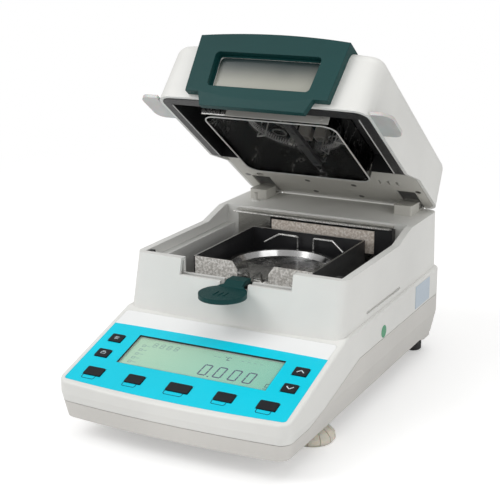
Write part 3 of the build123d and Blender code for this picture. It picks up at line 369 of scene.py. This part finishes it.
# Every CAD piece gets the finish that its record names
slot_of = {part["node"]: part["material_slot"] for part in frame["record"]["subparts"]}
for name, obj in nodes.items():
    obj.data.materials.clear()
    obj.data.materials.append(FINISHES[slot_of[name]])


# Mesh helpers
def piece(name, bm, finish, body, matrix=None, smooth=False):
    """Makes an object from a mesh drawn in millimetres in a frame, and lets it ride on a body."""
    if matrix is not None:
        bmesh.ops.transform(bm, matrix=matrix, verts=bm.verts)
    bmesh.ops.recalc_face_normals(bm, faces=bm.faces)
    mesh = bpy.data.meshes.new(name)
    for face in bm.faces:
        face.smooth = smooth
    bm.to_mesh(mesh)
    bm.free()
    obj = bpy.data.objects.new(name, mesh)
    bpy.context.scene.collection.objects.link(obj)
    obj.data.materials.append(FINISHES[finish])
    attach(obj, body)
    return obj


def box_into(bm, x, y, z):
    """Adds a box between two bounds on each axis."""
    size = Matrix.Diagonal((x[1] - x[0], y[1] - y[0], z[1] - z[0], 1))
    middle = Matrix.Translation(((x[0] + x[1]) / 2, (y[0] + y[1]) / 2, (z[0] + z[1]) / 2))
    bmesh.ops.create_cube(bm, size=1, matrix=middle @ size)


SHARP_ANGLE = 0.5


def soften(bm, width):
    """Rounds every edge that turns by more than the sharp angle, in radians."""
    sharp = [e for e in bm.edges if len(e.link_faces) == 2 and e.calc_face_angle(0) > SHARP_ANGLE]
    bmesh.ops.bevel(
        bm, geom=sharp, offset=width, segments=2, profile=0.5, affect="EDGES", material=-1,
        clamp_overlap=True,
    )


def bar_into(bm, first, last, width, out, thick):
    """Adds a flat bar from one point to another, lying at a height over a surface."""
    run = Vector((last[0] - first[0], last[1] - first[1], 0))
    middle = Matrix.Translation(((first[0] + last[0]) / 2, (first[1] + last[1]) / 2, out + thick / 2))
    turn = Matrix.Rotation(math.atan2(run.y, run.x), 4, "Z")
    size = Matrix.Diagonal((run.length + width, width, thick, 1))
    bmesh.ops.create_cube(bm, size=1, matrix=middle @ turn @ size)


def line_into(bm, points, width, out, thick):
    """Adds flat bars along a row of points."""
    for first, last in zip(points, points[1:]):
        bar_into(bm, first, last, width, out, thick)


def tube_into(bm, radius, tube, centre, start, sweep, steps, sides):
    """Adds a round tube bent to a level ring or to a part of one."""
    upright = Matrix.Rotation(math.radians(90), 4, "X")
    ring_place = Matrix.Translation(centre) @ Matrix.Rotation(math.radians(start), 4, "Z")
    section = ring_place @ Matrix.Translation((radius, 0, 0)) @ upright
    whole = sweep > 359.9
    made = bmesh.ops.create_circle(
        bm, cap_ends=False, segments=sides, radius=tube, matrix=section
    )["verts"]
    edges = list({edge for vert in made for edge in vert.link_edges})
    if not whole:
        bmesh.ops.edgeloop_fill(bm, edges=edges)
    swept = bmesh.ops.spin(
        bm, geom=made + edges, cent=centre, axis=(0, 0, 1), angle=math.radians(sweep), steps=steps,
        use_merge=whole, use_duplicate=False,
    )["geom_last"]
    if not whole:
        bmesh.ops.edgeloop_fill(bm, edges=[e for e in swept if isinstance(e, bmesh.types.BMEdge)])


def rod_into(bm, first, last, radius, sides):
    """Adds a round rod between two points."""
    run = Vector(last) - Vector(first)
    middle = Matrix.Translation((Vector(first) + Vector(last)) / 2)
    turn = run.to_track_quat("Z", "Y").to_matrix().to_4x4()
    bmesh.ops.create_cone(
        bm, cap_ends=True, segments=sides, radius1=radius, radius2=radius, depth=run.length,
        matrix=middle @ turn,
    )


# Display: its black surround, which is painted shade on the walls of the opening, lit figures and faint
# marks
FINISHES["ink_dark"] = moulded("ink_dark", (0.002, 0.012, 0.10), 0.5, 900.0, 0.00001, 0.0, shine=0.2)
FINISHES["ink_faint"] = moulded("ink_faint", (0.14, 0.25, 0.27), 0.5, 900.0, 0.00001, 0.0)
FINISHES["ink_line"] = moulded("ink_line", (0.0, 0.04, 0.09), 0.5, 900.0, 0.00001, 0.0, shine=0.2)
FINISHES["ink_light"] = moulded("ink_light", (0.62, 0.72, 0.76), 0.45, 900.0, 0.00001, 0.0)
FINISHES["surround_shade_black"] = moulded("surround_shade_black", (0.012, 0.012, 0.013), 0.5, 900.0, 0.00002, 0.0)

LCD_HALF = 67.0
LCD_LOW, LCD_HIGH = 30.0, 69.0
INK_OUT = -2.29
INK_THICK, FAINT_THICK = 0.05, 0.04
WALL, WALL_GAP = 0.25, 0.03
WALL_DEPTH = (-1.58, -0.05)
# Black strips lining the white walls of the opening: painted shade.
surround = bmesh.new()
for side in (-1, 1):
    x = sorted((side * (LCD_HALF - WALL_GAP), side * (LCD_HALF - WALL)))
    box_into(surround, x, (LCD_LOW + WALL_GAP, LCD_HIGH - WALL_GAP), WALL_DEPTH)
for v in ((LCD_LOW + WALL_GAP, LCD_LOW + WALL), (LCD_HIGH - WALL, LCD_HIGH - WALL_GAP)):
    box_into(surround, (-LCD_HALF + WALL, LCD_HALF - WALL), v, WALL_DEPTH)
piece("display_surround", surround, "surround_shade_black", "base", PANEL)


def figure_into(bm, x, v, w, h, out, stroke=1.25, lean=0.1, lit="abcdef"):
    """Adds one seven-bar figure, its lower left corner at (x, v)."""
    gap = 0.25
    low, mid, high = stroke / 2, h / 2, h - stroke / 2
    left, right = stroke / 2, w - stroke / 2
    inset = stroke / 2 + gap
    bars = {
        "a": ((left + inset, high), (right - inset, high)),
        "d": ((left + inset, low), (right - inset, low)),
        "f": ((left, mid + inset), (left, high - inset)),
        "b": ((right, mid + inset), (right, high - inset)),
        "e": ((left, low + inset), (left, mid - inset)),
        "c": ((right, low + inset), (right, mid - inset)),
        "g": ((left + inset, mid), (right - inset, mid)),
    }
    for key in lit:
        ends = [(a + b * lean + x, b + v) for a, b in bars[key]]
        bar_into(bm, ends[0], ends[1], stroke, out, INK_THICK)


figures = bmesh.new()
for x in (3.0, 16.2, 29.4, 42.2):
    figure_into(figures, x, 36.3, 7.8, 14.1, INK_OUT)
bar_into(figures, (13.1, 36.2), (13.5, 36.2), 1.1, INK_OUT, INK_THICK)
line_into(
    figures,
    [(65.4, 36.6), (62.9, 36.6), (62.9, 40.2), (65.7, 40.2), (65.3, 34.2), (62.5, 34.2)],
    0.62, INK_OUT, INK_THICK,
)
bar_into(figures, (16.6, 63.2), (17.0, 63.2), 0.8, INK_OUT, INK_THICK)
line_into(figures, [(21.2, 63.2), (18.7, 63.2), (18.3, 59.8), (20.8, 59.8)], 0.6, INK_OUT, INK_THICK)
piece("display_figures", figures, "ink_dark", "base", PANEL)

marks = bmesh.new()
for k, v in enumerate((35.5, 41.0, 46.5, 52.0, 57.5)):
    x = -60.2 + k * 0.3
    outline = [(x, v), (x + 2.6, v), (x + 2.6, v + 2.4), (x, v + 2.4), (x, v)]
    line_into(marks, outline, 0.45, INK_OUT, FAINT_THICK)
    bar_into(marks, (x + 4.4, v + 1.2), (x + 6.8, v + 1.2), 0.45, INK_OUT, FAINT_THICK)
for k in range(4):
    figure_into(marks, -50.5 + k * 6.6, 59.0, 3.6, 5.6, INK_OUT, 0.5, 0.1, "abcdefg")
for x in (6.0, 9.6, 31.0, 36.5, 42.0, 47.5):
    bar_into(marks, (x, 61.8), (x + 1.9, 61.8), 0.5, INK_OUT, FAINT_THICK)
piece("display_marks", marks, "ink_faint", "base", PANEL)

# Printed brackets under the lower keys
BRACKETS = ((-84.6, -73.2), (-46.8, -35.0), (-9.2, 6.8), (32.7, 44.5), (70.4, 82.2))
BRACKET_LOW, BRACKET_HIGH, CORNER = 4.2, 8.2, 1.1
brackets = bmesh.new()
for left, right in BRACKETS:
    route = [
        (left, BRACKET_HIGH), (left, BRACKET_LOW + CORNER), (left + CORNER, BRACKET_LOW),
        (right - CORNER, BRACKET_LOW), (right, BRACKET_LOW + CORNER), (right, BRACKET_HIGH),
    ]
    line_into(brackets, route, 0.6, 0.005, INK_THICK)
piece("key_brackets", brackets, "ink_line", "base", PANEL)

# Signs on the round-cornered keys beside the display
KEY_FACE = 0.81
KEY_EDGE = 84.0
KEY_HIGH, KEY_LOW = 59.0, 37.5
for name, v, rise in (("up", KEY_HIGH, 1.0), ("down", KEY_LOW, -1.0)):
    sign = bmesh.new()
    low = v - 1.2 * rise
    arrow = [(KEY_EDGE - 2.7, low), (KEY_EDGE, v + 1.3 * rise), (KEY_EDGE + 2.7, low)]
    line_into(sign, arrow, 0.85, KEY_FACE, INK_THICK)
    piece("sign_" + name, sign, "ink_light", "button_" + name, PANEL)
sign = bmesh.new()
for k in (-1, 0, 1):
    v = KEY_HIGH + k * 1.3
    bar_into(sign, (-KEY_EDGE - 1.6, v), (-KEY_EDGE + 1.6, v), 0.45, KEY_FACE, INK_THICK)
piece("sign_menu", sign, "ink_light", "button_menu", PANEL)
sign = bmesh.new()
x, v = -KEY_EDGE, KEY_LOW
case = [(x - 2, v - 1), (x + 2, v - 1), (x + 2, v + 1), (x - 2, v + 1), (x - 2, v - 1)]
sheet = [(x - 1, v + 1), (x - 1, v + 2.2), (x + 1, v + 2.2), (x + 1, v + 1)]
for route in (case, sheet):
    line_into(sign, route, 0.45, KEY_FACE, INK_THICK)
piece("sign_print", sign, "ink_light", "button_print", PANEL)

# Chamber: bright strip under the deck's edge, folded hem of the draft shield, ribs on the grip
STRIP_ACROSS = (-79.0, 79.0)
strip = bmesh.new()
box_into(strip, STRIP_ACROSS, (258.6, 262.6), (131.6, 132.9))
box_into(strip, STRIP_ACROSS, (261.6, 266.0), (131.2, 131.7))
soften(strip, 0.3)
FINISHES["bright_strip"] = sheet_metal("bright_strip", (0.9, 0.89, 0.87), 0.25, (8, 1, 1), 300.0)
piece("chamber_strip", strip, "bright_strip", "base", STAND)

SHIELD_HALF = 57.0
SHIELD_FRONT, SHIELD_BACK, SHIELD_TOP = 143.5, 257.5, 120.5
HEM, HEM_GAP = 1.5, 0.05
HEM_Z = (SHIELD_TOP - 0.02, SHIELD_TOP + 0.25)
hem = bmesh.new()
for side in (-1, 1):
    x = sorted((side * (SHIELD_HALF - HEM_GAP), side * (SHIELD_HALF - HEM)))
    box_into(hem, x, (SHIELD_FRONT + 0.1, SHIELD_BACK - HEM_GAP), HEM_Z)
box_into(hem, (-SHIELD_HALF + HEM, SHIELD_HALF - HEM), (SHIELD_BACK - HEM, SHIELD_BACK - HEM_GAP), HEM_Z)
# Pale grey metal along the shield's top edges, lighter than its black walls.
FINISHES["pale_hem_metal"] = sheet_metal("pale_hem_metal", (0.45, 0.45, 0.43), 0.35, (1, 1, 1), 500.0)
piece("shield_hem", hem, "pale_hem_metal", "shield", STAND)

GRIP_TOP = 110.5
ribs = bmesh.new()
for x in (-4.5, 0.0, 4.5):
    box_into(ribs, (x - 0.8, x + 0.8), (82.0, 91.0), (GRIP_TOP - 0.3, GRIP_TOP + 0.55))
soften(ribs, 0.3)
piece("grip_ribs", ribs, "teal_plastic", "lifter", STAND)

# Lid underside: lamp with its coiled filament, sensor bar, clips, the rim of the glass opening, and pale
# strips along the frame's inner edges that are painted highlights
RIM_HALF = 62.0
RIM_FRONT, RIM_BACK = 137.0, 251.0
RIM_Z = 123.5
LAMP = (0.0, 194.0, 146.0)
LAMP_R = 42.0
END_X = 8.0
GAP_ANGLE = math.degrees(math.asin(END_X / LAMP_R))
END_Y = LAMP[1] + math.sqrt(LAMP_R ** 2 - END_X ** 2)
lamp = bmesh.new()
tube_into(lamp, LAMP_R, 3.9, LAMP, 90.0 + GAP_ANGLE, 360.0 - 2 * GAP_ANGLE, 120, 16)
for side in (-1, 1):
    rod_into(lamp, (side * END_X, END_Y, 141.6), (side * END_X, END_Y, 153.6), 4.4, 20)
lamp_tube = piece("lamp_tube", lamp, "lamp_glass", "lid", LID, True)
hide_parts("ring_lamp")

FINISHES["filament_grey"] = moulded("filament_grey", (0.42, 0.41, 0.39), 0.3, 900.0, 0.00003, 0.0)
COIL_TURNS, COIL_STEPS, COIL_R = 96, 9, 2.1
coil = bmesh.new()
coil_length = math.radians(344.0 - 2 * GAP_ANGLE) * LAMP_R
circle = bmesh.ops.create_circle(
    coil, cap_ends=True, segments=4, radius=0.42,
    matrix=Matrix.Translation((0, COIL_R, 0)) @ Matrix.Rotation(math.radians(10), 4, "Y"),
)["verts"]
ring_edges = list({edge for vert in circle for edge in vert.link_edges})
bmesh.ops.spin(
    coil, geom=circle + ring_edges, cent=(0, 0, 0), axis=(1, 0, 0), angle=math.tau * COIL_TURNS,
    dvec=(coil_length / (COIL_TURNS * COIL_STEPS), 0, 0), steps=COIL_TURNS * COIL_STEPS, use_merge=False,
    use_duplicate=False,
)
for vert in coil.verts:
    angle = math.radians(98.0 + GAP_ANGLE) + vert.co.x / LAMP_R
    out = LAMP_R + vert.co.y
    vert.co = (LAMP[0] + out * math.cos(angle), LAMP[1] + out * math.sin(angle), LAMP[2] + vert.co.z)
piece("lamp_filament", coil, "filament_grey", "lid", LID, True)

BAR_LEFT, BAR_RIGHT, BAR_EDGE = 1.5, 9.5, 0.8
BAR_LONG = (RIM_FRONT + 1.5, RIM_BACK - 1.5)
BAR_MIDDLE = (BAR_LEFT + BAR_RIGHT) / 2
bridge = bmesh.new()
box_into(bridge, (BAR_LEFT, BAR_RIGHT), BAR_LONG, (133.4, 134.6))
for x in (BAR_LEFT, BAR_RIGHT - BAR_EDGE):
    box_into(bridge, (x, x + BAR_EDGE), BAR_LONG, (134.6, 137.2))
soften(bridge, 0.25)
for y in (RIM_FRONT + 8, RIM_BACK - 8, 182.0, 206.0):
    rod_into(bridge, (BAR_MIDDLE, y, 132.7), (BAR_MIDDLE, y, 133.6), 1.9, 18)
sensor_bar = piece("sensor_bar", bridge, "sheet_black", "lid", LID)
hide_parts("sensor_bridge")

CLIP_ANGLES = (67.5, 157.5, 202.5, 247.5, 292.5, 337.5, 382.5, 427.5)
CLIP_LOW, CLIP_HIGH, CLIP_HALF, CLIP_WIRE = 141.2, 163.6, 4.6, 0.7
clips = bmesh.new()
for degrees in CLIP_ANGLES:
    angle = math.radians(degrees)
    centre = Vector((LAMP[0] + LAMP_R * math.cos(angle), LAMP[1] + LAMP_R * math.sin(angle), 0))
    aside = Vector((math.cos(angle), math.sin(angle), 0)) * CLIP_HALF
    for way in (-1, 1):
        foot = centre + aside * way
        rod_into(clips, (foot.x, foot.y, CLIP_LOW), (foot.x, foot.y, CLIP_HIGH), CLIP_WIRE, 8)
    low = centre + Vector((0, 0, CLIP_LOW))
    rod_into(clips, low - aside * 1.12, low + aside * 1.12, CLIP_WIRE, 8)
piece("lamp_clips", clips, "filament_grey", "lid", LID)


def rim_into(bm, half, front, back, z, corner, width, thick):
    """Adds a flat bead round an opening with rounded corners."""
    flat = Matrix.Translation((0, (front + back) / 2, z)) @ Matrix.Diagonal((2 * half, back - front, 1, 1))
    verts = bmesh.ops.create_grid(bm, x_segments=1, y_segments=1, size=0.5, matrix=flat)["verts"]
    bmesh.ops.bevel(bm, geom=verts, offset=corner, segments=8, profile=0.5, affect="VERTICES", material=-1)
    face = max(bm.faces, key=lambda f: f.calc_area())
    bmesh.ops.inset_individual(bm, faces=[face], thickness=width, use_even_offset=True)
    bmesh.ops.delete(bm, geom=[face], context="FACES")
    bmesh.ops.solidify(bm, geom=bm.faces[:], thickness=thick)


FINISHES["rim_bright"] = moulded("rim_bright", (0.6, 0.6, 0.58), 0.3, 600.0, 0.00002, 0.0002)
rim = bmesh.new()
rim_into(rim, RIM_HALF, RIM_FRONT, RIM_BACK, RIM_Z - 0.05, 12.0, 1.2, 0.9)
soften(rim, 0.3)
piece("glass_rim", rim, "rim_bright", "lid", LID)

# Pale strips along the inner edges of the black frame: painted highlights where those edges catch the
# light.
edge_highlight = bmesh.new()
for side in (-1, 1):
    x = sorted((side * 86.6, side * 85.9))
    box_into(edge_highlight, x, (127.5, 232.0), (126.3, 127.0))
piece("frame_edge_highlight", edge_highlight, "rim_bright", "lid", LID)

FINISHES["cover_grey"] = moulded("cover_grey", (0.5, 0.49, 0.46), 0.4, 500.0, 0.00004, 0.0002)
front_cover = bmesh.new()
box_into(front_cover, (-61.5, 57.0), (135.4, 136.4), (124.2, 143.0))
soften(front_cover, 0.3)
for x in (-50.0, 50.0):
    rod_into(front_cover, (x, 135.6, 128.5), (x, 134.9, 128.5), 1.6, 16)
piece("heater_front", front_cover, "cover_grey", "lid", LID)
# A bright strip at the left of the front plate, placed as a painted glint.
glint = bmesh.new()
box_into(glint, (-60.8, -38.0), (134.7, 135.3), (124.4, 131.5))
soften(glint, 0.2)
piece("heater_glint", glint, "bright_strip", "lid", LID)

FINISHES["lead_grey"] = moulded("lead_grey", (0.24, 0.24, 0.23), 0.35, 700.0, 0.00004, 0.0)
LEAD_LOOPS = (
    (-30.0, 226.0, 153.0, 6.5, 0.7, 20, 360), (-17.0, 236.0, 151.0, 5.0, 0.6, 0, 360),
    (0.0, 199.0, 160.5, 12.5, 0.9, 0, 360), (0.0, 199.0, 157.0, 8.0, 0.8, 0, 360),
    (4.0, 196.0, 155.0, 29.0, 0.8, 150, 190), (-3.0, 190.0, 158.0, 26.0, 0.7, -40, 150),
    (26.0, 228.0, 152.0, 7.0, 0.7, 60, 290), (36.0, 215.0, 150.0, 4.5, 0.6, 0, 300),
    (-40.0, 170.0, 155.0, 8.0, 0.7, 90, 250), (22.0, 172.0, 156.0, 6.0, 0.6, 0, 280),
)
LEAD_RODS = (
    ((-8.0, 233.0, 156.0), (-8.0, 247.0, 160.0)), ((8.0, 233.0, 156.0), (14.0, 247.0, 160.0)),
    ((-52.0, 200.0, 161.0), (-30.0, 232.0, 161.0)), ((30.0, 160.0, 160.0), (48.0, 190.0, 160.0)),
)
leads = bmesh.new()
for x, y, z, radius, tube, start, sweep in LEAD_LOOPS:
    tube_into(leads, radius, tube, (x, y, z), start, sweep, 28, 6)
for first, last in LEAD_RODS:
    rod_into(leads, first, last, 0.8, 8)
piece("lamp_leads", leads, "lead_grey", "lid", LID, True)

# Lining of the hood's window opening, laid on the hood's raked and bowed front
LID_HALF, LID_FRONT, LID_SKIRT, LID_RISE = 98.0, 114.0, 127.5, 55.0
FRONT_RAKE, FRONT_BOW, LINER_SINK = 6.5, 2.5, 0.3
WINDOW_LOW, WINDOW_HIGH = 137.5, 171.5
WINDOW_HALF_LOW, WINDOW_HALF_HIGH = 46.5, 49.0
liner = bmesh.new()
rim_into(liner, WINDOW_HALF_HIGH, WINDOW_LOW, WINDOW_HIGH, 0.0, 4.0, 2.15, 0.5)
long_edges = [edge for edge in liner.edges if edge.calc_length() > 15.0]
bmesh.ops.subdivide_edges(liner, edges=long_edges, cuts=10, use_grid_fill=True)
for vert in liner.verts:
    x, z, depth = vert.co
    share = (z - WINDOW_LOW) / (WINDOW_HIGH - WINDOW_LOW)
    x *= (WINDOW_HALF_LOW + (WINDOW_HALF_HIGH - WINDOW_HALF_LOW) * share) / WINDOW_HALF_HIGH
    rake = FRONT_RAKE * (z - LID_SKIRT) / LID_RISE
    bow = FRONT_BOW * (1 - (x / LID_HALF) ** 2)
    vert.co = (x, LID_FRONT + rake - bow - LINER_SINK + depth, z)
piece("window_liner", liner, "teal_plastic", "lid", LID)


# Lights, floor and background
def area_light(name, location, target, size, energy):
    """A square lamp aimed at a point."""
    data = bpy.data.lights.new(name, "AREA")
    data.shape = "SQUARE"
    data.size = size
    data.energy = energy
    light = bpy.data.objects.new(name, data)
    light.location = location
    light.rotation_euler = (Vector(target) - Vector(location)).to_track_quat("-Z", "Y").to_euler()
    bpy.context.scene.collection.objects.link(light)


area_light("key_light", (-1.1, -1.0, 1.5), (0, 0, 0.1), 1.2, 16)
area_light("top_light", (0.2, 0.3, 2.0), (0, 0, 0.1), 1.8, 11)
area_light("fill_light", (1.6, -1.0, 0.8), (0, 0, 0.15), 1.4, 8)


def background():
    """White to the camera, and a softer, warmer white as a light and in reflections."""
    world = bpy.data.worlds.new("studio")
    bpy.context.scene.world = world
    world.use_nodes = True
    tree = world.node_tree
    tree.nodes.clear()
    out = tree.nodes.new("ShaderNodeOutputWorld")
    seen = tree.nodes.new("ShaderNodeBackground")
    lit = tree.nodes.new("ShaderNodeBackground")
    seen.inputs["Color"].default_value = (1, 1, 1, 1)
    seen.inputs["Strength"].default_value = 1.0
    lit.inputs["Color"].default_value = (1, 0.995, 0.985, 1)
    lit.inputs["Strength"].default_value = 0.5
    path = tree.nodes.new("ShaderNodeLightPath")
    blend = tree.nodes.new("ShaderNodeMixShader")
    tree.links.new(path.outputs["Is Camera Ray"], blend.inputs[0])
    tree.links.new(lit.outputs[0], blend.inputs[1])
    tree.links.new(seen.outputs[0], blend.inputs[2])
    tree.links.new(blend.outputs[0], out.inputs["Surface"])


def floor():
    """A pale floor that keeps the object's shadow near it and turns white further out."""
    bm = bmesh.new()
    bmesh.ops.create_grid(bm, x_segments=1, y_segments=1, size=15)
    mesh = bpy.data.meshes.new("floor")
    bm.to_mesh(mesh)
    bm.free()
    obj = bpy.data.objects.new("floor", mesh)
    bpy.context.scene.collection.objects.link(obj)
    paint = Paint("floor", (0.86, 0.86, 0.86), 0.6)
    glow = paint.node("Emission", Color=(1, 1, 1, 1), Strength=1.0)
    faint = paint.node("Emission", Color=(1, 1, 1, 1), Strength=0.32)
    path = paint.tree.nodes.new("ShaderNodeLightPath")
    near = paint.node("VectorMath")
    near.operation = "LENGTH"
    paint.link(paint.where(), near.inputs[0])
    far = paint.span(near.outputs["Value"], 0.45, 1.1, 0.0, 1.0)
    lifted = paint.tree.nodes.new("ShaderNodeAddShader")
    paint.link(paint.shader.outputs["BSDF"], lifted.inputs[0])
    paint.link(faint.outputs[0], lifted.inputs[1])
    seen = paint.tree.nodes.new("ShaderNodeMixShader")
    paint.link(far, seen.inputs[0])
    paint.link(lifted.outputs[0], seen.inputs[1])
    paint.link(glow.outputs[0], seen.inputs[2])
    final = paint.tree.nodes.new("ShaderNodeMixShader")
    paint.link(path.outputs["Is Camera Ray"], final.inputs[0])
    paint.link(paint.shader.outputs["BSDF"], final.inputs[1])
    paint.link(seen.outputs[0], final.inputs[2])
    paint.link(final.outputs[0], paint.out.inputs["Surface"])
    obj.data.materials.append(paint.mat)


background()
floor()
